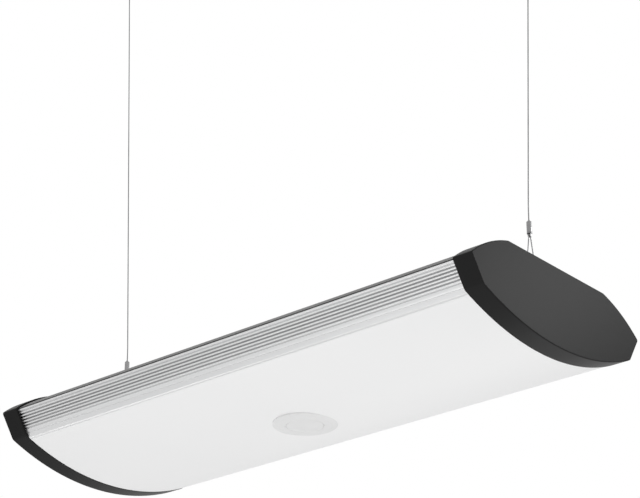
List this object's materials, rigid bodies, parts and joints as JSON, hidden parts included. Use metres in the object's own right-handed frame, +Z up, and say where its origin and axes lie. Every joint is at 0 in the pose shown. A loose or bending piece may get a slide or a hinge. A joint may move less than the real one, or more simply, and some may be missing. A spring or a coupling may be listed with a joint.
{
  "type": "hanging shop light",
  "caption": "Long bowed light with finned aluminium sides, moulded end caps and a round sensor in its frosted lens, hung level from ceiling anchors on thin cables with self-locking grippers.",
  "frame": {"origin": "on the ceiling, midway between the two anchors' screw holes", "axes": "+X along the lamp, +Z up, so -Y faces the side that the picture shows"},
  "size_m": [0.6275, 0.2684, 0.6556],
  "materials": {
    "aluminium": "anodised, satin",
    "dark_sheet": "powder coat, dark grey",
    "white_sheet": "white enamel",
    "steel": "zinc plated",
    "chrome": "polished nickel",
    "cable_steel": "stranded steel",
    "brass": "plain",
    "black_moulding": "moulded, satin",
    "white_moulding": "moulded",
    "sensor_white": "moulded, satin",
    "frosted_lens": "frosted acrylic",
    "white_board": "white solder mask",
    "green_board": "green solder mask",
    "led_phosphor": "phosphor gel",
    "wire_insulation": "soft insulation",
    "foam_rubber": "closed-cell foam"
  },
  "bodies": {
    "ceiling_mounts": {"anchor_base_right": "chrome", "anchor_base_left": "chrome", "anchor_cap_right": "chrome", "anchor_cap_left": "chrome"},
    "right_ball": {"cable_ball_right": "steel"},
    "right_cable": {"cable_right": "cable_steel"},
    "right_gripper": {"gripper_body_right": "chrome", "gripper_plug_right": "chrome", "gripper_spring_right": "steel", "hook_right": "steel"},
    "right_release": {"gripper_plunger_right": "chrome", "gripper_balls_right": "steel"},
    "left_ball": {"cable_ball_left": "steel"},
    "left_cable": {"cable_left": "cable_steel"},
    "left_gripper": {"gripper_body_left": "chrome", "gripper_plug_left": "chrome", "gripper_spring_left": "steel", "hook_left": "steel"},
    "left_release": {"gripper_plunger_left": "chrome", "gripper_balls_left": "steel"},
    "fixture": {"rail_near": "aluminium", "rail_far": "aluminium", "top_cover": "dark_sheet", "tray": "white_sheet", "tray_screws": "steel", "led_boards": "white_board", "leds": "led_phosphor", "board_screws": "steel", "board_leads": "wire_insulation", "driver_base": "steel", "driver_case": "white_moulding", "driver_board": "green_board", "driver_screws": "steel", "terminal_block": "white_moulding", "ground_screw": "brass", "inlet_bushing": "black_moulding", "input_leads": "wire_insulation", "output_leads": "wire_insulation", "lens": "frosted_lens", "end_cap_right": "black_moulding", "end_cap_left": "black_moulding", "end_plate_right": "steel", "end_plate_left": "steel", "gasket_right": "foam_rubber", "gasket_left": "foam_rubber", "plate_screws_right": "steel", "plate_screws_left": "steel", "sensor_bezel": "sensor_white", "sensor_dome": "sensor_white", "sensor_nut": "white_moulding", "sensor_body": "white_moulding", "sensor_board": "green_board", "sensor_detector": "steel", "sensor_lead": "wire_insulation"}
  },
  "joints": [
    {"name": "cross_swing", "type": "hinge", "parent": "ceiling_mounts", "child": "right_ball", "pos_m": [0.3, 0, -0.013], "axis": [1, 0, 0], "range_deg": [-15, 15]},
    {"name": "long_sway", "type": "hinge", "parent": "right_ball", "child": "right_cable", "pos_m": [0.3, 0, -0.013], "axis": [0, 1, 0], "range_deg": [-15, 15]},
    {"name": "height_adjust", "type": "slide", "parent": "right_cable", "child": "right_gripper", "axis": [0, 0, 1], "range_m": [0, 0.3], "deforming": ["cable_right"]},
    {"name": "release_right", "type": "slide", "parent": "right_gripper", "child": "right_release", "axis": [0, 0, 1], "range_m": [-0.0012, 0], "stiffness_N_per_m": 400, "springref_m": 0.0015, "deforming": ["gripper_spring_right"]},
    {"name": "cross_swing_left", "type": "hinge", "parent": "ceiling_mounts", "child": "left_ball", "pos_m": [-0.3, 0, -0.013], "axis": [1, 0, 0], "range_deg": [-15, 15]},
    {"name": "long_sway_left", "type": "hinge", "parent": "left_ball", "child": "left_cable", "pos_m": [-0.3, 0, -0.013], "axis": [0, 1, 0], "range_deg": [-15, 15]},
    {"name": "height_adjust_left", "type": "slide", "parent": "left_cable", "child": "left_gripper", "axis": [0, 0, 1], "range_m": [0, 0.3], "deforming": ["cable_left"]},
    {"name": "release_left", "type": "slide", "parent": "left_gripper", "child": "left_release", "axis": [0, 0, 1], "range_m": [-0.0012, 0], "stiffness_N_per_m": 400, "springref_m": 0.0015, "deforming": ["gripper_spring_left"]},
    {"name": "fixture_level", "type": "hinge", "parent": "right_gripper", "child": "fixture", "pos_m": [0.2735, 0, -0.57455], "axis": [0, 1, 0], "range_deg": [-17, 17]}
  ],
  "couplings": [
    {"joint": "cross_swing_left", "follows": "cross_swing", "ratio": 1},
    {"joint": "long_sway_left", "follows": "long_sway", "ratio": 1},
    {"joint": "fixture_level", "follows": "long_sway", "ratio": -1.096},
    {"joint": "height_adjust_left", "follows": "height_adjust", "ratio": 1}
  ]
}
